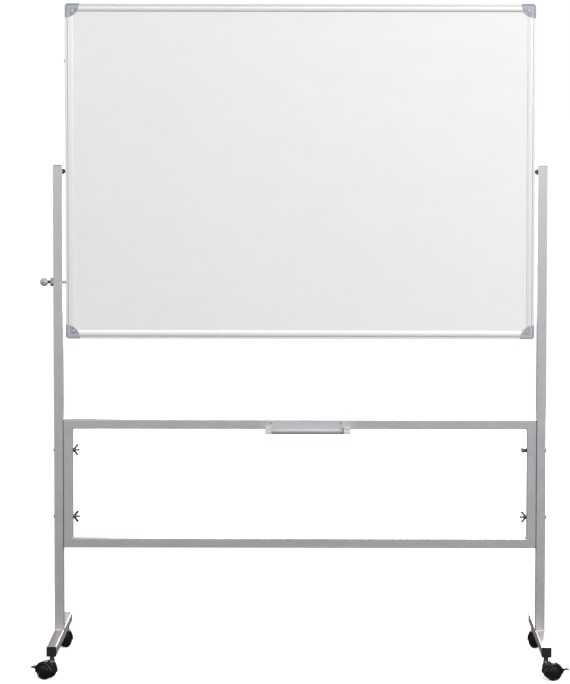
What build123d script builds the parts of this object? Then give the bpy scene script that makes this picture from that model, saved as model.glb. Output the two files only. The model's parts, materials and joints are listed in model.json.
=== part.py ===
from build123d import *
import os

# Revolving double-sided whiteboard on a wheeled stand, in millimetres, +Z up.
# Origin: on the floor, midway between the posts and in their middle plane.
# +X is the user's right, and the front of the stand faces -Y.

# ---- driving dimensions ----
BOARD_W = 1400.0            # panel outside its aluminium frame
BOARD_H = 1000.0
SIDE_GAP = 9.0              # between the panel and each post
TUBE = 28.0                 # square steel tube of the whole stand
TUBE_WALL = 1.5
TUBE_CORNER = 2.0
FOOT_LENGTH = 500.0
CASTER_HEIGHT = 72.0        # floor to the underside of the feet
STEM_Y = 230.0              # casters' stems, in front of and behind the posts
PIVOT_ABOVE_FOOT = 1380.0
POST_ABOVE_PIVOT = 19.0
POST_CAP = 2.0              # plastic cap on top of the post's tube
POST_PLUG = 9.0             # how far the cap and the feet's plugs go into their tubes
FOOT_PLUG = 12.0
FOOT_PLUG_FLANGE = 3.0
SOCKET_R = 6.0              # threaded bush in the foot's underside
SOCKET_DEPTH = 14.0
LOWER_FRAME_TOP_ABOVE_FOOT = 636.5
LOWER_FRAME_HEIGHT = 386.5
POST_WELD = 2.6             # leg of each weld bead
CORNER_WELD = 4.0
BOLT_HEIGHTS_ABOVE_FOOT = (342.5, 544.0)
INDEX_OFFSET = 331.0        # lock pin's holes, above and below the pivot

# ---- levels and places that follow ----
FOOT_TOP = CASTER_HEIGHT + TUBE
PIVOT_Z = FOOT_TOP + PIVOT_ABOVE_FOOT
POST_TOP = PIVOT_Z + POST_ABOVE_PIVOT
POST_X = BOARD_W / 2 + SIDE_GAP + TUBE / 2
POST_INNER = POST_X - TUBE / 2
POST_OUTER = POST_X + TUBE / 2
RAIL_TOP = FOOT_TOP + LOWER_FRAME_TOP_ABOVE_FOOT
RAIL_BOTTOM = RAIL_TOP - LOWER_FRAME_HEIGHT
STILE_INNER = POST_INNER - TUBE
BOLT_Z = [FOOT_TOP + height for height in BOLT_HEIGHTS_ABOVE_FOOT]
LOCK_Z = PIVOT_Z - INDEX_OFFSET

# ---- panel ----
FACE_WIDTH = 24.0           # aluminium frame seen from the front
CHAMBER_WALL = 1.5          # wall of the profile's closed chamber
CHAMBER_DEPTH = 7.5         # chamber's far wall, from the panel's outer edge
CHANNEL_DEPTH = 9.0         # where the channel that holds the boards begins
CHAMBER_HALF = 8.2          # half the chamber's and the channel's clear height
EXPOSED_HALF = 8.5          # writing surface, from the middle plane
SHEET_INNER = 7.7           # where the steel sheet meets the core
EDGE_CLEARANCE = 0.2
CAP_RADIUS = 42.0           # quarter-round corner piece
CAP_HALF = 12.2
CAP_CORNER = 9.0
CAP_BLOCK_RADIUS = 33.5     # solid part of the corner piece
CAP_SCREW = 21.0            # screw, from each outer edge
CAP_SCREW_R = 1.7
CAP_RIM = 3.6
CAP_RIM_HEIGHT = 0.6
CAP_TONGUE = 28.0           # how far its tongues go into the profiles' chambers

# ---- pivots and lock ----
PIVOT_R = 4.0
BUSH_R = 5.0
RUNNING = 0.05              # radial clearance of a running fit
PIVOT_NUT = 4.8
PIVOT_HEX = 13.0            # across the flats of the bolt's head and of the nut
PIVOT_HEAD = 5.3
BUSH_START = 7.2            # inner end of the pivot bolt and bush, from the panel's edge
LOCK_PIN_R = 3.0
LOCK_BARREL_R = 5.0
LOCK_HEX_LENGTH = 9.5
BALL_R = 12.5
BALL_X = 765.0
PIN_TIP_X = 702.9
INDEX_FLANGE = 2.5
INDEX_R = 4.5               # index bush, inside the panel's edge
INDEX_DEPTH = 6.5

# ---- lower frame's bolts ----
BOLT_R = 3.0
BOLT_LENGTH = 76.0
WASHER = 1.4
WING_TURNS = {(-1, 0): 4.0, (-1, 1): -6.0, (1, 0): 8.0, (1, 1): 76.0}

# ---- pen tray ----
TRAY_X = 23.5
TRAY_LENGTH = 255.0
TRAY_SHEET = 1.2
TRAY_DROP = 7.0             # tray's floor below the rail
TRAY_REACH = 58.0           # from the rail's front face to the lip
TRAY_LIP = 5.0
TRAY_CAP_LENGTH = 19.5
TRAY_CAP_WALL = 2.0
TRAY_SCREWS = (-110.5, 99.5)  # from the tray's middle
TRAY_SCREW_DROP = 8.0       # screws below the rail's top
TRAY_PLATE_DROP = 4.0       # back plate's upper edge below the rail's top
TRAY_SCREW_R = 1.8
TRAY_CAP_SKIN = 1.6         # end cap's floor and front, outside the sheet

# ---- casters ----
WHEEL_R = 25.0
WHEEL_INNER = 6.4           # wheel's inner face, from the caster's middle plane
WHEEL_OUTER = 19.4
TRAIL = 20.0                # axle behind the stem
HOOD_R = 28.5
HOOD_INNER_R = 25.8
HOOD_HALF = 19.0
WEB_HALF = 6.0
HUB_R = 9.5
BOSS_R = 9.0
HOOD_EDGE = 20.0            # hood's lower edge above the floor
BOSS_TOP = 51.2
STEM_R = 4.0
COLLAR_R = 7.0
STEM_BOTTOM = 37.0
STEM_HEX = (51.5, 58.0)
AXLE_R = 3.0
AXLE_HALF = 16.0
LEVER_HALF = 10.2
LEVER_PIVOT = (49.4, 31.0)  # from the stem, and above the floor
LEVER_PIN_R = 1.5
HEADING = {"front_left": 153.0, "front_right": 12.0, "rear_left": 237.0, "rear_right": 303.0}
SIDES = {"left": -1, "right": 1}
ENDS = {"front": -1, "rear": 1}


# ---- helpers ----
def rod_x(radius, x_from, x_to, y=0.0, z=0.0):
    """Round bar along X."""
    middle = (x_from + x_to) / 2
    return Pos(middle, y, z) * Rot(0, 90, 0) * Cylinder(radius, abs(x_to - x_from))


def rod_y(radius, y_from, y_to, x=0.0, z=0.0):
    """Round bar along Y."""
    middle = (y_from + y_to) / 2
    return Pos(x, middle, z) * Rot(90, 0, 0) * Cylinder(radius, abs(y_to - y_from))


def rod_z(radius, z_from, z_to, x=0.0, y=0.0):
    """Round bar along Z."""
    middle = (z_from + z_to) / 2
    return Pos(x, y, middle) * Cylinder(radius, abs(z_to - z_from))


def block(x_range, y_range, z_range):
    """Box between two corners."""
    size = [high - low for low, high in (x_range, y_range, z_range)]
    corner = Pos(x_range[0], y_range[0], z_range[0])
    return corner * Box(*size, align=(Align.MIN, Align.MIN, Align.MIN))


def hexagon(across_flats, length):
    """Hexagonal bar along +Z from the origin."""
    return extrude(RegularPolygon(across_flats / 2, 6, major_radius=False), length)


def square_tube(length):
    """The stand's tube, along +Z from the origin."""
    bore = TUBE - 2 * TUBE_WALL
    section = RectangleRounded(TUBE, TUBE, TUBE_CORNER) - RectangleRounded(bore, bore, TUBE_CORNER / 2)
    return extrude(section, length)


def mitred_bar(length):
    """Tube along X with its long side up and both ends cut at 45 degrees."""
    bar = Pos(-length / 2, 0, 0) * Rot(0, 90, 0) * square_tube(length)
    half = TUBE / 2
    outline = Polygon(
        (-length / 2, half), (length / 2, half), (length / 2 - TUBE, -half), (TUBE - length / 2, -half),
        align=None,
    )
    return bar & extrude(Plane.XZ * outline, TUBE, both=True)


def side_plate(outline, half_width):
    """Outline in X and Z, made into a plate centred on Y = 0."""
    return extrude(Plane.XZ * outline, half_width, both=True)


def weld_bead(radius, length):
    """Quarter-round bead along Y, in the corner where X and Z are positive."""
    section = Circle(radius) & Rectangle(radius, radius, align=(Align.MIN, Align.MIN))
    return extrude(Plane.XZ * section, length / 2, both=True)


# ---- stand ----
def post(side):
    """Upright, welded to the top of its foot, with its bolt and pivot holes."""
    tube = Pos(side * POST_X, 0, FOOT_TOP) * square_tube(POST_TOP - POST_CAP - FOOT_TOP)
    pivot_hole = rod_x(PIVOT_R, side * (POST_INNER - 1), side * (POST_INNER + TUBE_WALL + 1), 0, PIVOT_Z)
    tube -= pivot_hole
    for z in BOLT_Z:
        tube -= rod_x(BOLT_R, side * (POST_INNER - 1), side * POST_X, 0, z)
        tube -= Pos(side * POST_OUTER, 0, z) * Box(TUBE_WALL * 3, 2 * BOLT_R, 2 * BOLT_R)
    if side < 0:
        tube -= rod_x(LOCK_BARREL_R, -POST_INNER + 1, -POST_OUTER - 1, 0, LOCK_Z)
    return tube


def tube_plug(flange, flange_size, depth):
    """Plastic end plug: a flange on the XY plane and a block that goes down into the tube."""
    top = extrude(RectangleRounded(flange_size, flange_size, TUBE_CORNER), flange)
    top = fillet(top.faces().sort_by(Axis.Z)[-1].edges(), 0.8)
    bore = TUBE - 2 * TUBE_WALL
    return top + extrude(RectangleRounded(bore, bore, TUBE_CORNER / 2), -depth)


def foot(side):
    """Front-to-back tube under a post, bored underneath for the caster sockets."""
    tube = Pos(side * POST_X, -FOOT_LENGTH / 2, CASTER_HEIGHT + TUBE / 2) * Rot(-90, 0, 0)
    tube = tube * square_tube(FOOT_LENGTH)
    for y in (-STEM_Y, STEM_Y):
        tube -= rod_z(SOCKET_R, CASTER_HEIGHT - 1, CASTER_HEIGHT + TUBE_WALL + 1, side * POST_X, y)
    return tube


def foot_plugs():
    """Plugs in the four ends of the feet."""
    plugs = []
    for side in SIDES.values():
        for end in ENDS.values():
            place = Pos(side * POST_X, end * FOOT_LENGTH / 2, CASTER_HEIGHT + TUBE / 2)
            plugs.append(place * Rot(-90 * end, 0, 0) * tube_plug(FOOT_PLUG_FLANGE, TUBE + 1.0, FOOT_PLUG))
    return plugs


def post_caps():
    """Caps in the tops of the posts."""
    cap = tube_plug(POST_CAP, TUBE, POST_PLUG)
    return [Pos(side * POST_X, 0, POST_TOP - POST_CAP) * cap for side in SIDES.values()]


def weld_beads():
    """Beads in front of and behind each post's bottom, and in the lower frame's inner corners."""
    beads = []
    for side in SIDES.values():
        for end in ENDS.values():
            place = Pos(side * POST_X, end * TUBE / 2, FOOT_TOP)
            beads.append(place * Rot(0, 0, 90 * end) * weld_bead(POST_WELD, TUBE - 2 * TUBE_CORNER))
    inner_top = RAIL_TOP - TUBE
    inner_bottom = RAIL_BOTTOM + TUBE
    corners = [
        (-STILE_INNER, inner_bottom, 0), (-STILE_INNER, inner_top, 90),
        (STILE_INNER, inner_top, 180), (STILE_INNER, inner_bottom, 270),
    ]
    for x, z, turn in corners:
        beads.append(Pos(x, 0, z) * Rot(0, turn, 0) * weld_bead(CORNER_WELD, TUBE - 2 * TUBE_CORNER))
    return beads


def lower_rail(center_z, turn):
    """Horizontal member of the lower frame."""
    return Pos(0, 0, center_z) * Rot(turn, 0, 0) * mitred_bar(2 * POST_INNER)


def lower_stile(side):
    """Upright member of the lower frame, drilled for its two bolts."""
    middle = (RAIL_TOP + RAIL_BOTTOM) / 2
    bar = Pos(side * (POST_INNER - TUBE / 2), 0, middle) * Rot(0, 90 * side, 0)
    bar = bar * mitred_bar(LOWER_FRAME_HEIGHT)
    for z in BOLT_Z:
        bar -= rod_x(BOLT_R, side * (POST_INNER + 1), side * (STILE_INNER - 1), 0, z)
    return bar


def carriage_bolt():
    """Bolt along -X with the underside of its domed head at the origin."""
    head_height = 3.8
    head_r = 7.4
    dome = ThreePointArc((head_height, 0), (head_height * 0.75, head_r / 2), (0, head_r))
    head = revolve(make_face([dome, Polyline((0, head_r), (0, 0), (head_height, 0))]), Axis.X)
    neck = Pos(-TUBE_WALL / 2, 0, 0) * Box(TUBE_WALL, 2 * BOLT_R, 2 * BOLT_R)
    shank = chamfer(rod_x(BOLT_R, -BOLT_LENGTH, 0).edges().sort_by(Axis.X)[0], 0.7)
    return head + neck + shank


def washer():
    """Flat washer on the YZ plane, towards +X."""
    return rod_x(6.3, 0, WASHER) - rod_x(BOLT_R, -1, WASHER + 1)


def wing_nut(turn):
    """Wing nut on the YZ plane, towards +X, with its wings turned from upright."""
    hub = Rot(0, 90, 0) * Cone(6.2, 4.6, 7.0, align=(Align.CENTER, Align.CENTER, Align.MIN))
    arm = Polygon((1.0, 2.0), (6.0, 2.0), (13.6, 11.0), (8.8, 16.0), (1.0, 5.8), align=None)
    wing = side_plate(arm + Pos(11.6, 13.7) * Circle(3.6), 1.3)
    nut = hub + wing + Rot(180, 0, 0) * wing
    nut -= rod_x(BOLT_R, -1, 20)
    return Rot(turn, 0, 0) * nut


def frame_fasteners():
    """Bolts, washers and wing nuts that hold the lower frame between the posts."""
    bolts, washers, nuts = [], [], []
    for side in SIDES.values():
        outward = Rot(0, 0, 0 if side > 0 else 180)
        inward = Rot(0, 0, 180 if side > 0 else 0)
        for level, z in enumerate(BOLT_Z):
            bolts.append(Pos(side * POST_OUTER, 0, z) * outward * carriage_bolt())
            washers.append(Pos(side * STILE_INNER, 0, z) * inward * washer())
            seat = side * (STILE_INNER - WASHER)
            nuts.append(Pos(seat, 0, z) * inward * wing_nut(WING_TURNS[side, level]))
    return bolts, washers, nuts


def pivot_hardware():
    """Bolts with their heads inside the posts, and the flange nuts that clamp them."""
    bolts, nuts = [], []
    for side in SIDES.values():
        head_seat = POST_INNER + TUBE_WALL
        head = Pos(head_seat, 0, 0) * Rot(0, 90, 0) * hexagon(PIVOT_HEX, PIVOT_HEAD)
        bolt = head + rod_x(PIVOT_R, BOARD_W / 2 - BUSH_START, head_seat)
        flange = rod_x(8.6, POST_INNER - 1.3, POST_INNER)
        nut = flange + Pos(POST_INNER - PIVOT_NUT, 0, 0) * Rot(0, 90, 0) * hexagon(PIVOT_HEX, PIVOT_NUT)
        nut -= rod_x(PIVOT_R, POST_INNER - PIVOT_NUT - 1, POST_INNER + 1)
        place = Pos(0, 0, PIVOT_Z) * Rot(0, 0, 0 if side > 0 else 180)
        bolts.append(place * bolt)
        nuts.append(place * nut)
    return bolts, nuts


# ---- pen tray ----
TRAY_BACK = -TUBE / 2
TRAY_FLOOR = RAIL_TOP - TUBE - TRAY_DROP
TRAY_FRONT = TRAY_BACK - TRAY_REACH
TRAY_SCREW_Z = RAIL_TOP - TRAY_SCREW_DROP


def tray_bar(outline, x_from, x_to):
    """Outline in Y and Z, made into a bar along X."""
    return extrude(Plane.YZ.offset(x_from) * outline, x_to - x_from, dir=(1, 0, 0))


def pen_tray():
    """Folded sheet: a back plate on the rail, a floor and a low lip."""
    skin = FilletPolyline(
        (TRAY_BACK, RAIL_TOP - TRAY_PLATE_DROP), (TRAY_BACK, TRAY_FLOOR),
        (TRAY_FRONT, TRAY_FLOOR), (TRAY_FRONT, TRAY_FLOOR + TRAY_LIP),
        radius=[7.0, 2.0],
    )
    section = make_face(offset(skin, TRAY_SHEET, side=Side.RIGHT))
    half = TRAY_LENGTH / 2 - TRAY_CAP_WALL
    tray = tray_bar(section, TRAY_X - half, TRAY_X + half)
    for x in tray_screw_places():
        tray -= rod_y(TRAY_SCREW_R, TRAY_BACK - 3, TRAY_BACK + 3, x, TRAY_SCREW_Z)
    return tray


def tray_screw_places():
    """X of the two screws."""
    return [TRAY_X + offset_x for offset_x in TRAY_SCREWS]


def tray_end_cap(side, tray):
    """Hollow plastic end that closes the trough and wraps its lip and floor."""
    back = TRAY_BACK - TRAY_SHEET - 0.2
    low = TRAY_FLOOR - TRAY_CAP_SKIN
    front = TRAY_FRONT - TRAY_CAP_SKIN
    outline = Polygon(
        (TRAY_BACK - 7.0, low), (front, low), (front, low + 11.5), (back, low + 15.6), (back, low + 9.0),
        align=None,
    )
    outline = fillet(outline.vertices().group_by(Axis.X)[0], 3.0)
    floor = TRAY_FLOOR + TRAY_SHEET
    hollow = Polygon(
        (back - 4.0, floor), (front + 3.4, floor), (front + 3.4, low + 9.2), (back - 2.0, low + 13.2),
        (back - 2.0, floor + 6.0),
        align=None,
    )
    outer = TRAY_X + side * TRAY_LENGTH / 2
    inner = outer - side * TRAY_CAP_LENGTH
    wall = outer - side * TRAY_CAP_WALL
    cap = tray_bar(outline, min(inner, outer), max(inner, outer))
    cap -= tray_bar(hollow, min(inner, wall) - 1 * (side > 0), max(inner, wall) + 1 * (side < 0))
    return cap - tray


def tray_screws():
    """Pan-head screws through the back plate into the rail."""
    screws = []
    for x in tray_screw_places():
        head = rod_y(3.8, TRAY_BACK - TRAY_SHEET - 2.3, TRAY_BACK - TRAY_SHEET, x, TRAY_SCREW_Z)
        head = fillet(head.edges().sort_by(Axis.Y)[0], 1.2)
        head -= Pos(x, TRAY_BACK - TRAY_SHEET - 2.3, TRAY_SCREW_Z) * (Box(4, 2, 0.8) + Box(0.8, 2, 4))
        shank = rod_y(TRAY_SCREW_R, TRAY_BACK - TRAY_SHEET, TRAY_BACK + 7, x, TRAY_SCREW_Z)
        screws.append(head + shank)
    return screws


def top_rail():
    """Top rail with the holes of the tray's screws."""
    rail = lower_rail(RAIL_TOP - TUBE / 2, 0)
    for x in tray_screw_places():
        rail -= rod_y(TRAY_SCREW_R, TRAY_BACK - 1, TRAY_BACK + TUBE_WALL + 1, x, TRAY_SCREW_Z)
    return rail


# ---- lock ----
HEX_END = POST_OUTER + LOCK_HEX_LENGTH
BARREL_END = POST_INNER - 3.0
COUNTERBORE_END = HEX_END - 6.2
SPRING_START = COUNTERBORE_END - 4.0
GUIDE_START = BARREL_END + 6.0
COLLAR_END = GUIDE_START + 5.6
COLLAR_LENGTH = 2.0


def lock_housing():
    """Hexagon outside the left post and a barrel through both walls, bored for the pin and spring."""
    body = Pos(POST_OUTER, 0, 0) * Rot(0, 90, 0) * hexagon(22.0, LOCK_HEX_LENGTH)
    body = body & rod_x(12.4, POST_OUTER - 1, HEX_END + 1)
    body += rod_x(LOCK_BARREL_R, BARREL_END, POST_OUTER)
    body -= rod_x(LOCK_PIN_R + RUNNING, BARREL_END - 1, HEX_END + 1)
    body -= rod_x(4.1, GUIDE_START, SPRING_START)
    body -= rod_x(4.6, COUNTERBORE_END, HEX_END + 1)
    return Pos(0, 0, LOCK_Z) * Rot(0, 0, 180) * body


def lock_spring():
    """Compression spring between the housing's rear shoulder and the pin's collar."""
    start = COLLAR_END + COLLAR_LENGTH + 0.5
    length = SPRING_START - start - 0.5
    path = Helix(pitch=length / 6, height=length, radius=3.55)
    wire = Plane(origin=path @ 0, z_dir=path % 0) * Circle(0.3)
    coil = sweep(wire, path=path)
    return Pos(-start - length, 0, LOCK_Z) * Rot(0, 90, 0) * coil


def lock_pin():
    """Sliding pin with the collar that the spring pushes on."""
    pin = rod_x(LOCK_PIN_R, PIN_TIP_X, BALL_X - 4.0)
    pin = chamfer(pin.edges().sort_by(Axis.X)[0], 0.8)
    pin += rod_x(3.95, COLLAR_END, COLLAR_END + COLLAR_LENGTH)
    return Pos(0, 0, LOCK_Z) * Rot(0, 0, 180) * pin


def knob_ferrule():
    """Black sleeve between the ball and the housing."""
    sleeve = rod_x(4.3, HEX_END + 0.2, BALL_X - BALL_R + 1.2) - rod_x(LOCK_PIN_R, HEX_END, BALL_X)
    sleeve -= Pos(BALL_X, 0, 0) * Sphere(BALL_R)
    return Pos(0, 0, LOCK_Z) * Rot(0, 0, 180) * sleeve


def ball_knob():
    """Ball on the pin's outer end."""
    ball = Pos(BALL_X, 0, 0) * Sphere(BALL_R) - rod_x(LOCK_PIN_R, BALL_X - BALL_R - 1, BALL_X - 4.0)
    return Pos(0, 0, LOCK_Z) * Rot(0, 0, 180) * ball


# ---- panel ----
def upright(shape):
    """Turns a shape made flat on XY, with its front up, into the panel's own upright place."""
    return Pos(0, 0, PIVOT_Z) * Rot(90, 0, 0) * shape


def corner_places():
    """Panel's outer corners, as sign pairs."""
    return [(sx, sy) for sx in (-1, 1) for sy in (-1, 1)]


def corner_discs(radius):
    """Circles about the panel's four outer corners."""
    discs = Sketch()
    for sx, sy in corner_places():
        discs += Pos(sx * BOARD_W / 2, sy * BOARD_H / 2) * Circle(radius)
    return discs


def board_outline():
    """Core and sheets where they stand inside the profiles and the corner pieces."""
    inset = 2 * (CHANNEL_DEPTH + EDGE_CLEARANCE)
    return Rectangle(BOARD_W - inset, BOARD_H - inset) - corner_discs(CAP_BLOCK_RADIUS + EDGE_CLEARANCE)


def writing_sheet(side):
    """Enamelled sheet. Its edge is pressed 0.3 mm back where the frame and the corner pieces grip it."""
    seen = Rectangle(BOARD_W - 2 * FACE_WIDTH, BOARD_H - 2 * FACE_WIDTH)
    seen -= corner_discs(CAP_RADIUS + EDGE_CLEARANCE)
    sheet = Pos(0, 0, SHEET_INNER) * extrude(board_outline(), CHAMBER_HALF - SHEET_INNER)
    sheet += Pos(0, 0, CHAMBER_HALF) * extrude(seen, EXPOSED_HALF - CHAMBER_HALF)
    return upright(Rot(0, 0 if side < 0 else 180, 0) * sheet)


def core_board():
    """Light board between the two sheets."""
    return upright(extrude(board_outline(), SHEET_INNER, both=True))


def profile_section():
    """Aluminium profile: X is the distance in from the panel's edge, Y the height over its middle plane."""
    crown = ThreePointArc((7.6, 10.8), (14.4, 11.5), (21.2, 10.8))
    outline = [
        Polyline((0, 0), (0, 10.1), (0.5, 10.6), (7.0, 10.6), (7.1, 10.0), (7.5, 10.0), (7.6, 10.8)),
        crown,
        Polyline(
            (21.2, 10.8), (22.6, 10.4), (FACE_WIDTH, 8.9), (FACE_WIDTH, CHAMBER_HALF),
            (CHANNEL_DEPTH, CHAMBER_HALF), (CHANNEL_DEPTH, 0), (0, 0),
        ),
    ]
    half = make_face(outline)
    section = half + mirror(half, Plane.XZ)
    chamber = Rectangle(CHAMBER_DEPTH - CHAMBER_WALL, 2 * CHAMBER_HALF, align=(Align.MIN, Align.CENTER))
    return section - Pos(CHAMBER_WALL, 0) * chamber


def frame_profile(edge_length, edge_distance, turn):
    """One side of the panel's frame, ending against the corner pieces."""
    start = Plane((-edge_length / 2, -edge_distance / 2, 0), x_dir=(0, 1, 0), z_dir=(1, 0, 0))
    bar = Rot(0, 0, turn) * extrude(start * profile_section(), edge_length)
    bar -= extrude(corner_discs(CAP_RADIUS + EDGE_CLEARANCE), CAP_HALF, both=True)
    return bar


def side_profile(side):
    """Left or right profile, bored for its pivot bush and, on the left, for the two index bushes."""
    bar = upright(frame_profile(BOARD_H, BOARD_W, 90 * side))
    outer = side * (BOARD_W / 2 + 1)
    inner = side * (BOARD_W / 2 - CHAMBER_WALL - 1)
    bar -= rod_x(BUSH_R, inner, outer, 0, PIVOT_Z)
    if side < 0:
        for offset_z in (-INDEX_OFFSET, INDEX_OFFSET):
            bar -= rod_x(INDEX_R, inner, outer, 0, PIVOT_Z + offset_z)
    return bar


def corner_cap(sx, sy):
    """Quarter-round corner piece with a raised rim, a slot for the boards and tongues for the profiles."""
    rounded = Rectangle(CAP_RADIUS, CAP_RADIUS, align=(Align.MIN, Align.MIN))
    rounded = fillet(rounded.vertices().sort_by_distance((0, 0, 0))[0], CAP_CORNER)
    outline = rounded & Circle(CAP_RADIUS)
    cap = extrude(outline, CAP_HALF, both=True)
    cap = fillet(cap.faces().group_by(Axis.Z)[0].edges() + cap.faces().group_by(Axis.Z)[-1].edges(), 0.9)
    floor = offset(outline, -CAP_RIM)
    for face in (-1, 1):
        cap -= Pos(0, 0, face * (CAP_HALF - CAP_RIM_HEIGHT)) * extrude(floor, face * 1.0)
    slot_size = CAP_RADIUS - CHANNEL_DEPTH + 1
    slot = Rectangle(slot_size, slot_size, align=(Align.MIN, Align.MIN))
    slot = Pos(CHANNEL_DEPTH, CHANNEL_DEPTH) * slot - Circle(CAP_BLOCK_RADIUS)
    cap -= extrude(slot, CHAMBER_HALF, both=True)
    tongue_half = CHAMBER_HALF - 0.3
    along = (CAP_RADIUS - 4.0, CAP_RADIUS + CAP_TONGUE)
    across = (CHAMBER_WALL + 0.2, CHAMBER_DEPTH - 0.2)
    cap += block(along, across, (-tongue_half, tongue_half))
    cap += block(across, along, (-tongue_half, tongue_half))
    for face in (-1, 1):
        cap -= rod_z(CAP_SCREW_R, face * (CAP_HALF + 1), face * 3.0, CAP_SCREW, CAP_SCREW)
    turn = {(-1, -1): 0, (1, -1): 90, (1, 1): 180, (-1, 1): 270}[sx, sy]
    return upright(Pos(sx * BOARD_W / 2, sy * BOARD_H / 2) * Rot(0, 0, turn) * cap)


def corner_screws():
    """Countersunk-look screws on the front and the back of each corner piece."""
    seat = CAP_HALF - CAP_RIM_HEIGHT
    head = fillet(rod_z(3.4, seat, seat + 1.4).edges().sort_by(Axis.Z)[-1], 0.8)
    head -= Pos(0, 0, seat + 1.4) * (Box(3.6, 0.7, 1.4) + Box(0.7, 3.6, 1.4))
    screw = head + rod_z(CAP_SCREW_R, 3.5, seat)
    screws = []
    for sx, sy in corner_places():
        place = Pos(sx * (BOARD_W / 2 - CAP_SCREW), sy * (BOARD_H / 2 - CAP_SCREW))
        screws.append(upright(place * screw))
        screws.append(upright(place * Rot(180, 0, 0) * screw))
    return screws


def pivot_bush(side):
    """Nylon bush that turns on the pivot bolt."""
    start = POST_INNER - PIVOT_NUT - 0.3
    bush = rod_x(BUSH_R, BOARD_W / 2 - BUSH_START, start) - rod_x(PIVOT_R + RUNNING, 0, POST_X)
    return Pos(0, 0, PIVOT_Z) * Rot(0, 0, 0 if side > 0 else 180) * bush


def pivot_plate(side):
    """Steel block inside the side profile that carries the bush."""
    outer = BOARD_W / 2 - CHAMBER_WALL
    inner = BOARD_W / 2 - CHAMBER_DEPTH
    plate = block((inner, outer), (-CHAMBER_HALF, CHAMBER_HALF), (-20, 20))
    plate -= rod_x(BUSH_R, inner - 1, outer + 1)
    return Pos(0, 0, PIVOT_Z) * Rot(0, 0, 0 if side > 0 else 180) * plate


def index_bush(offset_z):
    """Flanged bush in the panel's left side that the lock pin enters."""
    edge = BOARD_W / 2
    bush = rod_x(6.0, edge, edge + INDEX_FLANGE) + rod_x(INDEX_R, edge - INDEX_DEPTH, edge)
    bush -= rod_x(LOCK_PIN_R + 0.2, edge - INDEX_DEPTH - 1, edge + INDEX_FLANGE + 1)
    return Pos(0, 0, PIVOT_Z + offset_z) * Rot(0, 0, 180) * bush


# ---- casters, made about the stem's axis with the trail towards +X ----
def stem_places():
    """Feet's caster positions, with the caster's name and heading."""
    places = []
    for end_name, end in ENDS.items():
        for side_name, side in SIDES.items():
            name = f"{end_name}_{side_name}"
            places.append((name, side * POST_X, end * STEM_Y, HEADING[name]))
    return places


def caster_socket():
    """Threaded bush in the foot's underside, with the collar that the stem tightens against."""
    collar = chamfer(rod_z(COLLAR_R, STEM_HEX[1], CASTER_HEIGHT).edges(), 0.8)
    bush = collar + rod_z(SOCKET_R, CASTER_HEIGHT, CASTER_HEIGHT + SOCKET_DEPTH)
    return bush - rod_z(STEM_R, 0, CASTER_HEIGHT + SOCKET_DEPTH + 1)


def caster_stem():
    """Screwed-in stem: thread, hexagon and the pin that the caster swivels on."""
    low, high = STEM_HEX
    stem = Pos(0, 0, low) * hexagon(14.0, high - low) + rod_z(STEM_R, high, CASTER_HEIGHT + 13)
    return stem + chamfer(rod_z(STEM_R, STEM_BOTTOM, low).edges().sort_by(Axis.Z)[0], 0.8)


def caster_hood(has_lever):
    """Hood over both wheels with its centre web, stem boss and, in front, the brake lever's lugs."""
    above = Pos(TRAIL, HOOD_EDGE) * Rectangle(4 * HOOD_R, 2 * HOOD_R, align=(Align.CENTER, Align.MIN))
    axle = Pos(TRAIL, WHEEL_R)
    shell = side_plate(axle * Circle(HOOD_R) & above, HOOD_HALF)
    shell = fillet(shell.edges().filter_by(GeomType.CIRCLE), 3.2)
    boss = rod_z(BOSS_R, 30.0, BOSS_TOP)
    back = Polygon((-7.2, 24), (-8.2, 42), (-5, 49.5), (8.5, 50.5), (20, 53), align=None)
    fairing = side_plate(back, 12.5)
    fairing = fillet(fairing.edges().filter_by(Axis.Y, reverse=True), 1.5)
    hood = shell + fillet(boss.edges().sort_by(Axis.Z)[-1], 1.5) + fairing
    px, pz = LEVER_PIVOT
    if has_lever:
        arm = Polygon((px - 6, pz - 6.5), (px, pz - 4), (px, pz + 4), (px - 8, pz + 10), align=None)
        ear = Pos(px, pz) * Circle(4.0) + arm
        for side in (-1, 1):
            hood += Pos(0, side * (LEVER_HALF + 1.8), 0) * side_plate(ear, 1.4)
        hood -= block((px - 10, px + 10), (-LEVER_HALF - 0.3, LEVER_HALF + 0.3), (HOOD_EDGE - 5, pz + 5.5))
        hood -= rod_y(LEVER_PIN_R + RUNNING, -20, 20, px, pz)
    for side in (-1, 1):
        hood -= rod_y(HOOD_INNER_R, side * WEB_HALF, side * (HOOD_HALF + 5), TRAIL, WHEEL_R)
    hood += side_plate(axle * Circle(HUB_R), WEB_HALF)
    hood -= rod_z(STEM_R + RUNNING, STEM_BOTTOM - 0.5, BOSS_TOP + 1)
    return hood - rod_y(AXLE_R, -WEB_HALF - 1, WEB_HALF + 1, TRAIL, WHEEL_R)


def caster_axle():
    """Steel axle, pressed through the web."""
    return rod_y(AXLE_R, -AXLE_HALF, AXLE_HALF, TRAIL, WHEEL_R)


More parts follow.
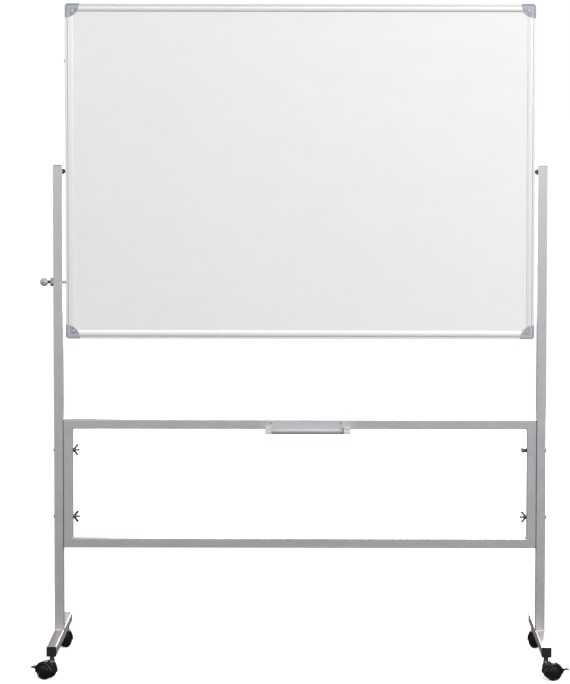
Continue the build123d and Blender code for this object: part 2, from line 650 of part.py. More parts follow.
def caster_wheel(side):
    """Moulded wheel: hollow towards the web, closed and slightly domed outside."""
    bore = AXLE_R + RUNNING
    floor = AXLE_HALF + 0.3
    outline = [
        Polyline((bore, WHEEL_INNER), (bore, floor), (0, floor), (0, WHEEL_OUTER)),
        ThreePointArc((0, WHEEL_OUTER), (8.4, WHEEL_OUTER - 0.35), (16.6, WHEEL_OUTER - 1.4)),
        Polyline(
            (16.6, WHEEL_OUTER - 1.4), (17.6, WHEEL_OUTER - 2.4), (19.0, WHEEL_OUTER - 2.4),
            (20.0, WHEEL_OUTER - 1.2), (WHEEL_R, WHEEL_OUTER - 1.2), (WHEEL_R, WHEEL_INNER),
            (21.5, WHEEL_INNER), (21.0, 13.0), (8.0, 13.0), (7.5, WHEEL_INNER), (bore, WHEEL_INNER),
        ),
    ]
    section = make_face(outline)
    section = fillet(section.vertices().group_by(Axis.X)[-1], 2.2)
    wheel = revolve(section, Axis.Y)
    return Pos(TRAIL, 0, WHEEL_R) * Rot(0, 0, 0 if side > 0 else 180) * wheel


def brake_lever():
    """Foot lever with a toe that swings towards the wheels when it is pressed."""
    px, pz = LEVER_PIVOT
    pedal = Polygon(
        (px - 1.5, pz + 3.4), (px + 9, pz + 3.4), (px + 18.5, pz + 1.6), (px + 20.2, pz - 1.8),
        (px + 9, pz - 1.4), (px + 3, pz - 3),
        align=None,
    )
    toe = Polygon((px - 2.2, pz), (px - 2.2, pz - 8), (px + 1.6, pz - 8), (px + 3.2, pz - 1), align=None)
    lever = side_plate(pedal + toe + Pos(px, pz) * Circle(3.3), LEVER_HALF)
    lever = fillet(lever.edges().filter_by(Axis.Y).group_by(Axis.X)[-1], 0.9)
    return lever + rod_y(LEVER_PIN_R, -LEVER_HALF - 3.0, LEVER_HALF + 3.0, px, pz)


# ---- nodes ----
def build_nodes():
    """Every sub-part's solids, by node name."""
    bolts, washers, nuts = frame_fasteners()
    pivot_bolts, pivot_nuts = pivot_hardware()
    tray = pen_tray()
    nodes = {
        "left_post": [post(-1)],
        "right_post": [post(1)],
        "post_caps": post_caps(),
        "left_foot": [foot(-1)],
        "right_foot": [foot(1)],
        "foot_plugs": foot_plugs(),
        "weld_beads": weld_beads(),
        "lower_frame_top_rail": [top_rail()],
        "lower_frame_bottom_rail": [lower_rail(RAIL_BOTTOM + TUBE / 2, 180)],
        "lower_frame_left_stile": [lower_stile(-1)],
        "lower_frame_right_stile": [lower_stile(1)],
        "carriage_bolts": bolts,
        "bolt_washers": washers,
        "wing_nuts": nuts,
        "pivot_bolts": pivot_bolts,
        "pivot_flange_nuts": pivot_nuts,
        "pen_tray": [tray],
        "tray_end_caps": [tray_end_cap(side, tray) for side in SIDES.values()],
        "tray_screws": tray_screws(),
        "lock_housing": [lock_housing()],
        "lock_spring": [lock_spring()],
        "lock_pin": [lock_pin()],
        "knob_ferrule": [knob_ferrule()],
        "ball_knob": [ball_knob()],
        "front_writing_sheet": [writing_sheet(-1)],
        "back_writing_sheet": [writing_sheet(1)],
        "core_board": [core_board()],
        "frame_profile_top": [upright(frame_profile(BOARD_W, BOARD_H, 180))],
        "frame_profile_bottom": [upright(frame_profile(BOARD_W, BOARD_H, 0))],
        "frame_profile_left": [side_profile(-1)],
        "frame_profile_right": [side_profile(1)],
        "corner_cap_top_left": [corner_cap(-1, 1)],
        "corner_cap_top_right": [corner_cap(1, 1)],
        "corner_cap_bottom_left": [corner_cap(-1, -1)],
        "corner_cap_bottom_right": [corner_cap(1, -1)],
        "corner_cap_screws": corner_screws(),
        "pivot_bushes": [pivot_bush(side) for side in SIDES.values()],
        "pivot_plates": [pivot_plate(side) for side in SIDES.values()],
        "index_bushes": [index_bush(offset_z) for offset_z in (-INDEX_OFFSET, INDEX_OFFSET)],
        "caster_sockets": [Pos(x, y, 0) * caster_socket() for _, x, y, _ in stem_places()],
        "caster_stems": [Pos(x, y, 0) * caster_stem() for _, x, y, _ in stem_places()],
    }
    for name, x, y, heading in stem_places():
        place = Pos(x, y, 0) * Rot(0, 0, heading)
        in_front = y < 0
        nodes[f"{name}_caster_hood"] = [place * caster_hood(in_front)]
        nodes[f"{name}_caster_axle"] = [place * caster_axle()]
        nodes[f"{name}_caster_wheel_a"] = [place * caster_wheel(1)]
        nodes[f"{name}_caster_wheel_b"] = [place * caster_wheel(-1)]
        if in_front:
            nodes[f"{name}_brake_lever"] = [place * brake_lever()]
    return nodes


os.makedirs("parts", exist_ok=True)
for node_name, solids in build_nodes().items():
    pieces = [piece for solid in solids for piece in solid.solids()]
    export_step(Compound(children=pieces) if len(pieces) > 1 else pieces[0], f"parts/{node_name}.step")
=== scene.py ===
import json
import math
import random

import bmesh
import bpy
from mathutils import Matrix, Vector


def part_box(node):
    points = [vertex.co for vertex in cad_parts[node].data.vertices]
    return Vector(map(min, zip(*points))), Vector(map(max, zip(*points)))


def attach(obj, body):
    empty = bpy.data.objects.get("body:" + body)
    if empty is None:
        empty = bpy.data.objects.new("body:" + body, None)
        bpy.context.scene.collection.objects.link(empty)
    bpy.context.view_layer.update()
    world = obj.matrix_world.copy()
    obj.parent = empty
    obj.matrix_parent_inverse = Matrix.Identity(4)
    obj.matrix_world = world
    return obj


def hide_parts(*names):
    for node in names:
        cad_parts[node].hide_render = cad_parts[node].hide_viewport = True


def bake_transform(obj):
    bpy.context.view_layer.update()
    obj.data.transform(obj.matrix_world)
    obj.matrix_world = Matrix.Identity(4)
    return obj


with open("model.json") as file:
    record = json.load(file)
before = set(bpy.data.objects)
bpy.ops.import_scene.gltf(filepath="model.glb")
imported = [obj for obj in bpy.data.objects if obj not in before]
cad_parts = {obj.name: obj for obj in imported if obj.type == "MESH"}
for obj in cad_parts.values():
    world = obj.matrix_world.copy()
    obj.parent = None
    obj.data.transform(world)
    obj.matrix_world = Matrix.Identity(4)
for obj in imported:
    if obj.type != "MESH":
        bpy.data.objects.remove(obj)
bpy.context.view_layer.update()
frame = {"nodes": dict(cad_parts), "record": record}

# A revolving whiteboard on a wheeled stand. All lengths are in metres, in the CAD's frame.
nodes = frame["nodes"]
MM = 0.001


# ---- places taken from the frame ----
def centre(node):
    """Middle of a CAD node's box."""
    low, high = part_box(node)
    return (low + high) / 2


PIVOT_Z = centre("frame_profile_left").z
PANEL_HALF_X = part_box("frame_profile_right")[1].x
PANEL_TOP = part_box("frame_profile_top")[1].z
PANEL_HALF_Z = PANEL_TOP - PIVOT_Z
POST_X = centre("right_post").x
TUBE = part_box("right_post")[1].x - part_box("right_post")[0].x
FOOT_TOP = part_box("right_post")[0].z
RAIL_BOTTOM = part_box("lower_frame_left_stile")[0].z
RAIL_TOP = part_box("lower_frame_left_stile")[1].z
STILE_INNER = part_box("lower_frame_right_stile")[0].x
TRAY_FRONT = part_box("pen_tray")[0].y
BOLT_HEAD = 3.8 * MM
BOLT_HEAD_R = 7.4 * MM
BOLT_LENGTH = 76.0 * MM
THREAD_R = 3.35 * MM
THREAD_DEPTH = 0.34 * MM
THREAD_PITCH = 1.0 * MM
THREAD_LENGTH = 10.2 * MM
THREAD_FROM_TIP = 0.9 * MM
SPRING_WIRE_R = 0.3 * MM
SPRING_TURNS = 6
BEVEL_WIDTH = 0.35 * MM


# ---- camera: nearly square on, a little right of the middle and looking slightly down ----
CAMERA_PLACE = (0.0636, -8.0, 1.787)
CAMERA_PITCH = math.radians(3.139)
CAMERA_ROLL = math.radians(0.092)


def make_camera():
    data = bpy.data.cameras.new("studio_camera")
    data.sensor_width = 36.0
    data.lens = 141.16
    data.shift_x = -0.0533
    data.shift_y = -0.1845
    camera = bpy.data.objects.new("studio_camera", data)
    bpy.context.scene.collection.objects.link(camera)
    tilt = Matrix.Rotation(math.pi / 2 - CAMERA_PITCH, 4, "X") @ Matrix.Rotation(CAMERA_ROLL, 4, "Z")
    camera.matrix_world = Matrix.Translation(CAMERA_PLACE) @ tilt
    bpy.context.scene.camera = camera


# ---- materials ----
def linear(value):
    """One channel of a display colour, 0 to 255, as a linear amount."""
    share = value / 255.0
    return share / 12.92 if share <= 0.04045 else ((share + 0.055) / 1.055) ** 2.4


def tint(red, green, blue):
    return (linear(red), linear(green), linear(blue), 1.0)


def shaded(colour, share):
    """The colour made darker or lighter."""
    return tuple(min(1.0, channel * share) for channel in colour[:3]) + (1.0,)


SOCKETS = {"specular_ior_level": "Specular IOR Level"}


class Nodes:
    """Short ways to add nodes to a tree. A value may be a constant or another node's output."""

    def __init__(self, tree):
        self.tree = tree

    def feed(self, value, socket):
        """Sets the socket to a constant, or links an output to it."""
        if isinstance(value, (int, float, tuple)):
            socket.default_value = value
        else:
            self.tree.links.new(value, socket)

    def spread(self, value, low, high, from_low=0.3, from_high=0.7):
        """The value, taken from the range from_low..from_high to low..high."""
        node = self.tree.nodes.new("ShaderNodeMapRange")
        self.feed(from_low, node.inputs["From Min"])
        self.feed(from_high, node.inputs["From Max"])
        self.feed(low, node.inputs["To Min"])
        self.feed(high, node.inputs["To Max"])
        self.feed(value, node.inputs["Value"])
        return node.outputs["Result"]

    def blend(self, share, first, second):
        """Mix of two colours."""
        node = self.tree.nodes.new("ShaderNodeMix")
        node.data_type = "RGBA"
        self.feed(share, node.inputs["Factor"])
        self.feed(first, node.inputs["A"])
        self.feed(second, node.inputs["B"])
        return node.outputs["Result"]

    def math(self, operation, *values):
        node = self.tree.nodes.new("ShaderNodeMath")
        node.operation = operation
        for value, socket in zip(values, node.inputs):
            self.feed(value, socket)
        return node.outputs["Value"]

    def split(self, vector):
        """The X, Y and Z of a vector output."""
        node = self.tree.nodes.new("ShaderNodeSeparateXYZ")
        self.feed(vector, node.inputs["Vector"])
        return node.outputs["X"], node.outputs["Y"], node.outputs["Z"]

    def camera_ray(self):
        """1 for rays straight from the camera, 0 for light and reflections."""
        return self.tree.nodes.new("ShaderNodeLightPath").outputs["Is Camera Ray"]


class Shader(Nodes):
    """A Principled material and short ways to add its texture nodes."""

    def __init__(self, name, stretch=(1.0, 1.0, 1.0)):
        self.material = bpy.data.materials.new(name)
        self.material.use_nodes = True
        super().__init__(self.material.node_tree)
        self.bsdf = self.tree.nodes["Principled BSDF"]
        self.on_object = self.tree.nodes.new("ShaderNodeTexCoord").outputs["Object"]
        scale = self.tree.nodes.new("ShaderNodeMapping")
        scale.inputs["Scale"].default_value = stretch
        self.feed(self.on_object, scale.inputs["Vector"])
        self.place = scale.outputs["Vector"]
        self.relief = None

    def noise(self, scale, detail=3.0, roughness=0.5, distortion=0.0):
        node = self.tree.nodes.new("ShaderNodeTexNoise")
        self.feed(scale, node.inputs["Scale"])
        self.feed(detail, node.inputs["Detail"])
        self.feed(roughness, node.inputs["Roughness"])
        self.feed(distortion, node.inputs["Distortion"])
        self.feed(self.place, node.inputs["Vector"])
        return node.outputs["Fac"]

    def cells(self, scale):
        """Distance to the nearest of randomly strewn points."""
        node = self.tree.nodes.new("ShaderNodeTexVoronoi")
        self.feed(scale, node.inputs["Scale"])
        self.feed(self.place, node.inputs["Vector"])
        return node.outputs["Distance"]

    def band(self, value, middle, half_width, fade):
        """1 within half_width of the middle, falling to 0 over the fade."""
        away = self.math("ABSOLUTE", self.math("SUBTRACT", value, middle))
        return self.spread(away, 1.0, 0.0, half_width, half_width + fade)

    def facing_up(self):
        """1 on surfaces that lie flat and face up, 0 on upright ones."""
        _, _, up = self.split(self.tree.nodes.new("ShaderNodeNewGeometry").outputs["Normal"])
        return self.spread(up, 0.0, 1.0, 0.35, 0.85)

    def from_panel_edge(self):
        """How far in from the panel's outer edge the point is."""
        x, _, z = self.split(self.on_object)
        side = self.math("SUBTRACT", PANEL_HALF_X, self.math("ABSOLUTE", x))
        end = self.math("SUBTRACT", PANEL_HALF_Z, self.math("ABSOLUTE", self.math("SUBTRACT", z, PIVOT_Z)))
        return self.math("MINIMUM", side, end)

    def colour(self, value):
        self.feed(value, self.bsdf.inputs["Base Color"])

    def rough(self, value):
        self.feed(value, self.bsdf.inputs["Roughness"])

    def bump(self, value, height, strength=1.0):
        """Adds a layer of relief, height in metres."""
        node = self.tree.nodes.new("ShaderNodeBump")
        self.feed(strength, node.inputs["Strength"])
        self.feed(height, node.inputs["Distance"])
        self.feed(value, node.inputs["Height"])
        if self.relief is not None:
            self.feed(self.relief, node.inputs["Normal"])
        self.relief = node.outputs["Normal"]
        self.feed(self.relief, self.bsdf.inputs["Normal"])

    def set(self, **values):
        for name, value in values.items():
            self.bsdf.inputs[SOCKETS.get(name, name.replace("_", " ").title())].default_value = value


# Colour for up-facing surfaces: partly dust, partly painted shade and brownish floor reflection.
UP_FACE_DUST_AND_SHADE = tint(170, 160, 156)
# Painted shade with a brownish floor reflection, for the tray's front lip.
LIP_SHADE_BROWN = tint(112, 98, 92)


def powder_shader(name, colour, metal):
    """Silver powder coat and its painted colour: fine flake speckle over a slight orange-peel skin.

    The seam between posts and stiles is darkened with painted shade, and what faces up is painted darker and
    browner: partly dust, partly painted shade and brownish floor reflection."""
    shader = Shader(name)
    cloud = shader.spread(shader.noise(7.0, 4.0), 0.0, 1.0)
    base = shader.blend(cloud, shaded(colour, 0.965), shaded(colour, 1.03))
    flake = shader.spread(shader.cells(1500.0), 0.0, 0.30, 0.0, 0.5)
    base = shader.blend(flake, base, shaded(colour, 1.25))
    scuff = shader.spread(shader.noise(46.0, 6.0, 0.7, 1.5), 0.0, 0.35, 0.66, 0.80)
    base = shader.blend(scuff, base, shaded(colour, 0.86))
    x, _, z = shader.split(shader.on_object)
    # Painted shade: a dark line along the seam between posts and stiles, set by place.
    beside = shader.band(shader.math("ABSOLUTE", x), POST_X - TUBE / 2, 1.0 * MM, 1.2 * MM)
    along = shader.band(z, (RAIL_BOTTOM + RAIL_TOP) / 2, (RAIL_TOP - RAIL_BOTTOM) / 2, 1.0 * MM)
    painted_seam_shade = shader.math("MULTIPLY", shader.math("MULTIPLY", beside, along), 0.75)
    base = shader.blend(painted_seam_shade, base, shaded(colour, 0.25))
    # Painted by facing: what faces up turns darker and browner, partly dust, partly painted shade and
    # brownish floor reflection.
    dust = shader.math("MULTIPLY", shader.facing_up(), 0.8)
    painted = shader.blend(dust, base, UP_FACE_DUST_AND_SHADE)
    shader.rough(shader.spread(shader.noise(60.0, 5.0), 0.33, 0.43))
    shader.bump(shader.noise(620.0, 2.0), 0.06 * MM, 0.35)
    shader.bump(shader.noise(2400.0, 1.0), 0.02 * MM, 0.25)
    shader.set(metallic=metal, coat_weight=0.12, coat_roughness=0.35)
    return shader, painted


def powder_coat(name, colour, metal=0.8):
    shader, painted = powder_shader(name, colour, metal)
    shader.colour(painted)
    return shader.material


def tray_paint(name, colour):
    """The tray's paint, with painted shade and a brownish reflection along its front lip."""
    shader, painted = powder_shader(name, colour, 0.5)
    _, y, _ = shader.split(shader.on_object)
    # Painted shade with a brownish reflection on the front lip's edge, set by place.
    lip_shade = shader.spread(y, 1.0, 0.0, TRAY_FRONT + 1.2 * MM, TRAY_FRONT + 1.6 * MM)
    shader.colour(shader.blend(lip_shade, painted, LIP_SHADE_BROWN))
    return shader.material


STEP_FROM_EDGE = 7.3 * MM
TOP_BAND = 3.0 * MM
SLOPE_FROM_TOP = 23.2 * MM


def extruded_aluminium(name, colour, along):
    """Satin anodised extrusion with die lines along its length.

    Painted shade by place: the step round the panel, its outer band at the top and the downward-facing slope
    below that."""
    stretch = [260.0, 260.0, 260.0]
    stretch["XYZ".index(along)] = 1.2
    shader = Shader(name, tuple(stretch))
    lines = shader.noise(4.0, 4.0, 0.6)
    base = shader.blend(shader.spread(lines, 0.0, 1.0), shaded(colour, 0.95), shaded(colour, 1.03))
    # Painted shade: a dark line at the step round the panel.
    step = shader.band(shader.from_panel_edge(), STEP_FROM_EDGE, 0.7 * MM, 0.9 * MM)
    base = shader.blend(step, base, shaded(colour, 0.55))
    _, _, z = shader.split(shader.on_object)
    from_top = shader.math("SUBTRACT", PANEL_TOP, z)
    # Painted shade on the top frame's outer band and on its inner slope, which faces down.
    top_band_shade = shader.band(from_top, TOP_BAND, 3.2 * MM, 1.0 * MM)
    base = shader.blend(top_band_shade, base, shaded(colour, 0.84))
    slope_shade = shader.band(from_top, SLOPE_FROM_TOP, 0.9 * MM, 1.0 * MM)
    shader.colour(shader.blend(slope_shade, base, shaded(colour, 0.62)))
    shader.rough(shader.spread(shader.noise(9.0, 3.0), 0.26, 0.38))
    shader.bump(lines, 0.02 * MM, 0.30)
    shader.set(metallic=0.30)
    return shader.material


def dry_wipe_enamel(name, colour):
    """White dry-wipe enamel: low orange peel, and the faintest trace of wiping."""
    shader = Shader(name, (1.0, 1.0, 2.2))
    wiped = shader.spread(shader.noise(3.2, 7.0, 0.62, 1.2), 0.0, 1.0, 0.35, 0.75)
    base = shader.blend(wiped, colour, shaded(colour, 0.972))
    ghost = shader.spread(shader.noise(34.0, 8.0, 0.72, 2.5), 0.0, 0.35, 0.62, 0.80)
    shader.colour(shader.blend(ghost, base, shaded(colour, 0.965)))
    shader.rough(shader.spread(wiped, 0.30, 0.40, 0.0, 1.0))
    shader.bump(shader.noise(210.0, 2.0), 0.05 * MM, 0.10)
    shader.set(coat_weight=0.25, coat_roughness=0.18)
    return shader.material


def moulded_plastic(name, colour, roughness, grain=900.0, relief=0.05 * MM):
    """Moulded plastic with an eroded grain and dulled patches."""
    shader = Shader(name)
    patch = shader.spread(shader.noise(40.0, 4.0), 0.0, 1.0)
    base = shader.blend(patch, shaded(colour, 0.93), shaded(colour, 1.06))
    speck = shader.spread(shader.noise(1300.0, 2.0), 0.0, 0.35, 0.5, 0.8)
    shader.colour(shader.blend(speck, base, shaded(colour, 1.18)))
    shader.rough(shader.spread(shader.noise(90.0, 4.0), roughness - 0.06, roughness + 0.08))
    shader.bump(shader.noise(grain, 3.0, 0.6), relief, 0.35)
    return shader.material


RIM_WIDTH = 4.6 * MM
RIM_FADE = 1.8 * MM
MOTTLE_FROM_EDGE = 19.0 * MM


def corner_plastic(name, colour):
    """The corner caps' plastic, with a darker rim and a mottled patch inside it, both painted shade set by
    place.
    """
    shader = Shader(name)
    patch = shader.spread(shader.noise(120.0, 5.0), 0.0, 1.0)
    base = shader.blend(patch, shaded(colour, 0.90), shaded(colour, 1.10))
    inward = shader.from_panel_edge()
    mottle = shader.spread(shader.noise(260.0, 2.0, 0.5), 0.0, 1.0, 0.42, 0.56)
    # Painted shade: a mottled darker patch inside the rim.
    mottled_patch_shade = shader.math("MULTIPLY", shader.band(inward, MOTTLE_FROM_EDGE, 4.0 * MM, 3.0 * MM), mottle)
    base = shader.blend(mottled_patch_shade, base, shaded(colour, 0.62))
    # Painted shade: the cap's rim darkened by place.
    rim_shade = shader.spread(inward, 0.85, 0.0, RIM_WIDTH, RIM_WIDTH + RIM_FADE)
    shader.colour(shader.blend(rim_shade, base, shaded(colour, 0.66)))
    shader.rough(shader.spread(patch, 0.30, 0.42, 0.0, 1.0))
    shader.bump(shader.noise(900.0, 3.0, 0.6), 0.05 * MM, 0.35)
    return shader.material


def wheel_nylon(name, colour):
    """Black nylon with floor dust rubbed into it."""
    shader = Shader(name)
    dust = shader.spread(shader.noise(90.0, 6.0, 0.6, 0.8), 0.0, 0.40, 0.55, 0.85)
    base = shader.blend(dust, colour, tint(40, 39, 38))
    scratch = shader.spread(shader.noise(900.0, 3.0, 0.6, 3.0), 0.0, 0.2, 0.66, 0.80)
    shader.colour(shader.blend(scratch, base, tint(48, 47, 46)))
    shader.rough(shader.spread(dust, 0.26, 0.42, 0.0, 0.40))
    shader.bump(shader.noise(420.0, 2.0), 0.03 * MM, 0.15)
    return shader.material


def plated_steel(name, colour, roughness, grain_along=None):
    """Zinc-plated steel with the crystals' mottling and fine tool marks."""
    stretch = [1.0, 1.0, 1.0]
    if grain_along:
        stretch["XYZ".index(grain_along)] = 0.15
    shader = Shader(name, tuple(stretch))
    crystal = shader.spread(shader.cells(420.0), 0.0, 1.0, 0.0, 0.6)
    base = shader.blend(crystal, shaded(colour, 0.82), shaded(colour, 1.12))
    stain = shader.spread(shader.noise(160.0, 5.0, 0.65), 0.0, 0.5, 0.55, 0.75)
    shader.colour(shader.blend(stain, base, shaded(colour, 0.62)))
    shader.rough(shader.spread(shader.noise(260.0, 4.0), roughness - 0.08, roughness + 0.12))
    shader.bump(shader.noise(1500.0, 3.0), 0.03 * MM, 0.35)
    shader.set(metallic=1.0)
    return shader.material


def fibre_board(name, colour):
    """Raw edge of the core board."""
    shader = Shader(name)
    fibre = shader.spread(shader.noise(700.0, 6.0, 0.7), 0.0, 1.0)
    shader.colour(shader.blend(fibre, shaded(colour, 0.75), shaded(colour, 1.2)))
    shader.rough(shader.spread(fibre, 0.75, 0.95, 0.0, 1.0))
    shader.bump(fibre, 0.2 * MM, 0.4)
    return shader.material


SILVER = tint(205, 204, 209)
materials = {
    "powder": powder_coat("silver_powder_coat", SILVER),
    "tray": tray_paint("tray_silver_paint", tint(198, 199, 204)),
    # Painted highlight: the welds get a lighter, less metallic copy of the silver powder coat.
    "weld": powder_coat("weld_coat_painted_highlight", tint(240, 238, 240), 0.3),
    "aluminium_x": extruded_aluminium("anodised_aluminium_x", tint(238, 238, 240), "X"),
    "aluminium_z": extruded_aluminium("anodised_aluminium_z", tint(238, 238, 240), "Z"),
    "enamel": dry_wipe_enamel("dry_wipe_enamel", tint(234, 233, 233)),
    "corner": corner_plastic("corner_plastic", tint(174, 178, 188)),
    "cap": moulded_plastic("post_cap_plastic", tint(150, 150, 154), 0.5),
    "black": moulded_plastic("black_plastic", tint(13, 12, 12), 0.45),
    "cream": moulded_plastic("cream_plastic", tint(208, 202, 190), 0.45),
    "ball": moulded_plastic("ball_plastic", tint(178, 178, 178), 0.22, 500.0, 0.02 * MM),
    "nylon": wheel_nylon("caster_nylon", tint(13, 13, 14)),
    "dark_zinc": plated_steel("dark_zinc", tint(92, 92, 88), 0.38),
    "bright_zinc": plated_steel("bright_zinc", tint(205, 206, 203), 0.26),
    "bolt_end": plated_steel("bright_bolt_end", tint(175, 175, 172), 0.35),
    "axle": plated_steel("turned_steel", tint(185, 185, 185), 0.3, "X"),
    "core": fibre_board("core_fibre", tint(170, 140, 100)),
}
MATERIAL_OF_SLOT = {
    "silver_powder_coat": "powder", "grey_plastic": "cap", "black_plastic": "black",
    "dark_zinc": "dark_zinc",
    "bright_zinc": "bright_zinc", "tray_paint": "tray", "cream_plastic": "cream", "ball_grey": "ball",
    "white_enamel": "enamel", "core": "core", "anodised_aluminium": "aluminium_x",
    "corner_plastic": "corner", "caster_nylon": "nylon", "axle_steel": "axle",
}
MATERIAL_OF_NODE = {"frame_profile_left": "aluminium_z", "frame_profile_right": "aluminium_z"}


BEVELLED = (
    "wing_nuts", "pivot_flange_nuts", "caster_stems", "lock_housing", "tray_end_caps", "pen_tray",
    "bolt_washers", "front_left_brake_lever", "front_right_brake_lever", "front_left_caster_hood",
    "front_right_caster_hood", "rear_left_caster_hood", "rear_right_caster_hood", "index_bushes",
)


def soften_edges(node):
    """Small bevel on the sharp edges, so that they catch the light."""
    bevel = nodes[node].modifiers.new("soft_edges", "BEVEL")
    bevel.width = BEVEL_WIDTH
    bevel.segments = 2
    bevel.limit_method = "ANGLE"
    bevel.angle_limit = math.radians(40.0)


def finish_cad_nodes():
    """Gives each CAD node the material of its slot, and some a small bevel."""
    for part in frame["record"]["subparts"]:
        key = MATERIAL_OF_NODE.get(part["node"], MATERIAL_OF_SLOT[part["material_slot"]])
        node = nodes[part["node"]]
        node.data.materials.clear()
        node.data.materials.append(materials[key])
    for name in BEVELLED:
        soften_edges(name)


# ---- pieces made here ----
def add_piece(name, mesh, key, body):
    """Puts a bmesh in the scene as a piece, riding on a body if one is named."""
    data = bpy.data.meshes.new(name)
    mesh.normal_update()
    mesh.to_mesh(data)
    mesh.free()
    piece = bpy.data.objects.new(name, data)
    bpy.context.scene.collection.objects.link(piece)
    data.materials.append(materials[key])
    for polygon in data.polygons:
        polygon.use_smooth = True
    if body:
        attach(piece, body)
    return piece


def strip(mesh, rings):
    """Joins rings of points, each a closed loop of the same length, into a closed skin."""
    made = [[mesh.verts.new(point) for point in ring] for ring in rings]
    count = len(made[0])
    for first, second in zip(made, made[1:]):
        for i in range(count):
            j = (i + 1) % count
            mesh.faces.new((first[i], first[j], second[j], second[i]))
    mesh.faces.new(list(reversed(made[0])))
    mesh.faces.new(made[-1])


def bead_rings(length, radius, ripples, seed):
    """A weld bead along X between a wall at y = 0 and a floor at z = 0: scales of uneven size."""
    draw = random.Random(seed)
    sizes = [radius * draw.uniform(0.82, 1.08) for _ in range(ripples)]
    steps = ripples * 6
    rings = []
    for step in range(steps + 1):
        share = step / steps
        scale = min(int(share * ripples), ripples - 1)
        within = share * ripples - scale
        size = sizes[scale] * (0.72 + 0.28 * math.sin(math.pi * min(1.0, within * 0.9 + 0.1)) ** 0.6)
        size *= min(1.0, 0.35 + 5.0 * share, 0.35 + 5.0 * (1.0 - share))
        x = (share - 0.5) * length
        ring = [Vector((x, 0.0, 0.0))]
        for k in range(7):
            angle = math.pi / 2 * k / 6
            ring.append(Vector((x, -size * math.cos(angle), size * math.sin(angle))))
        rings.append(ring)
    return rings


def make_weld_beads():
    """Rippled beads in place of the plain ones: at the posts' bottoms and in the lower frame's corners."""
    mesh = bmesh.new()
    seed = 0
    for side in (-1, 1):
        for turn in (0.0, math.pi):
            front = -1 if turn == 0.0 else 1
            place = Matrix.Translation((side * POST_X, front * TUBE / 2, FOOT_TOP))
            place = place @ Matrix.Rotation(turn, 4, "Z")
            rings = bead_rings(TUBE * 0.86, 2.5 * MM, 7, seed)
            strip(mesh, [[place @ point for point in ring] for ring in rings])
            seed += 1
    corners = (
        (-STILE_INNER, RAIL_BOTTOM + TUBE, 1, 1), (STILE_INNER, RAIL_BOTTOM + TUBE, -1, 1),
        (-STILE_INNER, RAIL_TOP - TUBE, 1, -1), (STILE_INNER, RAIL_TOP - TUBE, -1, -1),
    )
    for x, z, inward, upward in corners:
        rings = bead_rings(TUBE * 0.84, 3.8 * MM, 7, seed)
        for ring in rings:
            for point in ring:
                point.x, point.y, point.z = x - inward * point.y, point.x, z + upward * point.z
        strip(mesh, rings)
        seed += 1
    bmesh.ops.recalc_face_normals(mesh, faces=mesh.faces)
    piece = add_piece("weld_bead_ripples", mesh, "weld", "stand")
    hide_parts("weld_beads")


def thread_rings(radius, depth, pitch, length, per_turn=20):
    """Ridge of a screw thread along X, from x = 0, as a chain of small triangles."""
    rings = []
    steps = int(length / pitch * per_turn)
    for step in range(steps + 1):
        angle = 2 * math.pi * step / per_turn
        x = pitch * step / per_turn
        fade = min(1.0, step / 8, (steps - step) / 8)
        crest = radius - depth + depth * max(0.05, fade)
        ring = []
        for along, out in ((-0.44 * pitch, radius - depth), (0.0, crest), (0.44 * pitch, radius - depth)):
            ring.append(Vector((x + along, out * math.cos(angle), out * math.sin(angle))))
        rings.append(ring)
    return rings


def make_bolt_threads():
    """Threads on the carriage bolts' free ends."""
    low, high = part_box("carriage_bolts")
    levels = (low.z + BOLT_HEAD_R, high.z - BOLT_HEAD_R)
    bolt_tip = high.x - BOLT_HEAD - BOLT_LENGTH
    mesh = bmesh.new()
    for side in (-1, 1):
        for z in levels:
            placed = []
            for ring in thread_rings(THREAD_R, THREAD_DEPTH, THREAD_PITCH, THREAD_LENGTH):
                start = bolt_tip + THREAD_FROM_TIP
                placed.append([Vector((side * (start + p.x), p.y, z + p.z)) for p in ring])
            strip(mesh, placed)
    bmesh.ops.recalc_face_normals(mesh, faces=mesh.faces)
    add_piece("bolt_threads", mesh, "bolt_end", "stand")


def make_lock_spring():
    """The lock's coil spring, between the housing and the pin's collar."""
    low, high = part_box("lock_spring")
    middle = (low + high) / 2
    coil = (high.z - low.z) / 2 - SPRING_WIRE_R
    length = high.x - low.x - 2 * SPRING_WIRE_R
    per_turn = 24
    steps = SPRING_TURNS * per_turn
    rings = []
    for step in range(steps + 1):
        angle = 2 * math.pi * step / per_turn
        outward = Vector((0.0, math.cos(angle), math.sin(angle)))
        heart = Vector((low.x + SPRING_WIRE_R + length * step / steps, middle.y, middle.z)) + coil * outward
        ring = []
        for i in range(8):
            turn = 2 * math.pi * i / 8
            offset = math.cos(turn) * outward + math.sin(turn) * Vector((1.0, 0.0, 0.0))
            ring.append(heart + SPRING_WIRE_R * offset)
        rings.append(ring)
    mesh = bmesh.new()
    strip(mesh, rings)
    bmesh.ops.recalc_face_normals(mesh, faces=mesh.faces)
    piece = add_piece("lock_coil", mesh, "bolt_end", None)
    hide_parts("lock_spring")
    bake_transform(piece)


# ---- stage: white to the camera; darker and brown below, and dimmer above and behind, to the object ----
HORIZON_LIGHT = 1.30
ZENITH_LIGHT = 0.30
BACK_SHARE = 0.40
OVERHEAD = 0.9
FRONT_RIGHT = 292.0
FRONT_LEFT = 40.0
BACK = 210.0
SOFTBOX_SIZE = 3.0
FLOOR_BOUNCE = tint(84, 77, 73)
FLOOR_GLOW = 0.45
FLOOR_R = 90.0
WHITE = (1.0, 1.0, 1.0, 1.0)


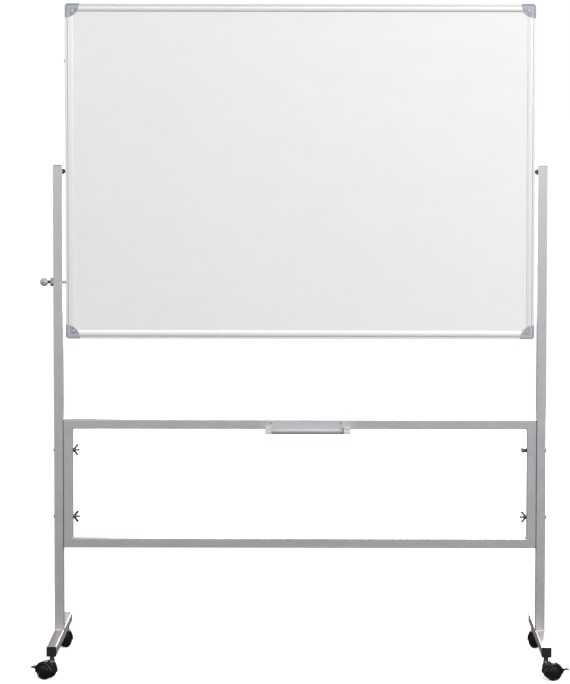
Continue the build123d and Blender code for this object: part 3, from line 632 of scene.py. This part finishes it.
def make_floor():
    """Floor that the camera sees as white, while its bounce on the object is dark brown."""
    mesh = bmesh.new()
    bmesh.ops.create_circle(mesh, cap_ends=True, segments=96, radius=FLOOR_R)
    data = bpy.data.meshes.new("studio_floor")
    mesh.to_mesh(data)
    mesh.free()
    floor = bpy.data.objects.new("studio_floor", data)
    bpy.context.scene.collection.objects.link(floor)
    shader = Shader("studio_floor")
    seen = shader.blend(shader.noise(0.8, 3.0), tint(253, 253, 253), tint(255, 255, 255))
    direct = shader.camera_ray()
    shader.colour(shader.blend(direct, FLOOR_BOUNCE, seen))
    shader.feed(shader.spread(direct, 0.0, FLOOR_GLOW, 0.0, 1.0), shader.bsdf.inputs["Emission Strength"])
    shader.set(roughness=0.9, specular_ior_level=0.1, emission_color=WHITE)
    data.materials.append(shader.material)


def make_world():
    """Sky that is brightest low in front, and plain white to the camera."""
    world = bpy.data.worlds.new("studio_world")
    bpy.context.scene.world = world
    world.use_nodes = True
    sky = Nodes(world.node_tree)
    background = sky.tree.nodes["Background"]
    sky.feed(WHITE, background.inputs["Color"])
    _, back, up = sky.split(sky.tree.nodes.new("ShaderNodeTexCoord").outputs["Generated"])
    by_height = sky.spread(up, HORIZON_LIGHT, ZENITH_LIGHT, 0.0, 0.8)
    by_depth = sky.spread(back, 1.0, BACK_SHARE, -0.4, 0.6)
    light = sky.math("MULTIPLY", by_height, by_depth)
    sky.feed(sky.spread(sky.camera_ray(), light, 1.0, 0.0, 1.0), background.inputs["Strength"])


def add_light(name, kind):
    light = bpy.data.objects.new(name, bpy.data.lights.new(name, kind))
    bpy.context.scene.collection.objects.link(light)
    return light


def add_softbox(name, place, target, power):
    """Round area light at a place, turned to a target and hidden from the camera."""
    light = add_light(name, "AREA")
    light.data.shape = "DISK"
    light.data.size = SOFTBOX_SIZE
    light.data.energy = power
    light.location = place
    light.rotation_mode = "QUATERNION"
    light.rotation_quaternion = (Vector(target) - Vector(place)).to_track_quat("-Z", "Y")
    light.visible_camera = False


def make_lights():
    """A wide sun straight above, and softboxes front right, front left and behind."""
    sun = add_light("overhead_sun", "SUN")
    sun.data.energy = OVERHEAD
    sun.data.angle = math.radians(30.0)
    add_softbox("front_right_softbox", (3.2, -5.0, 4.2), (0.1, 0.0, 1.5), FRONT_RIGHT)
    add_softbox("front_left_fill", (-4.0, -6.0, 2.4), (0.0, 0.0, 1.3), FRONT_LEFT)
    add_softbox("back_softbox", (0.5, 6.0, 1.9), (0.0, 0.0, 1.3), BACK)


bpy.context.scene.view_settings.view_transform = "Standard"

make_camera()
make_floor()
make_world()
make_lights()
finish_cad_nodes()
make_weld_beads()
make_bolt_threads()
make_lock_spring()
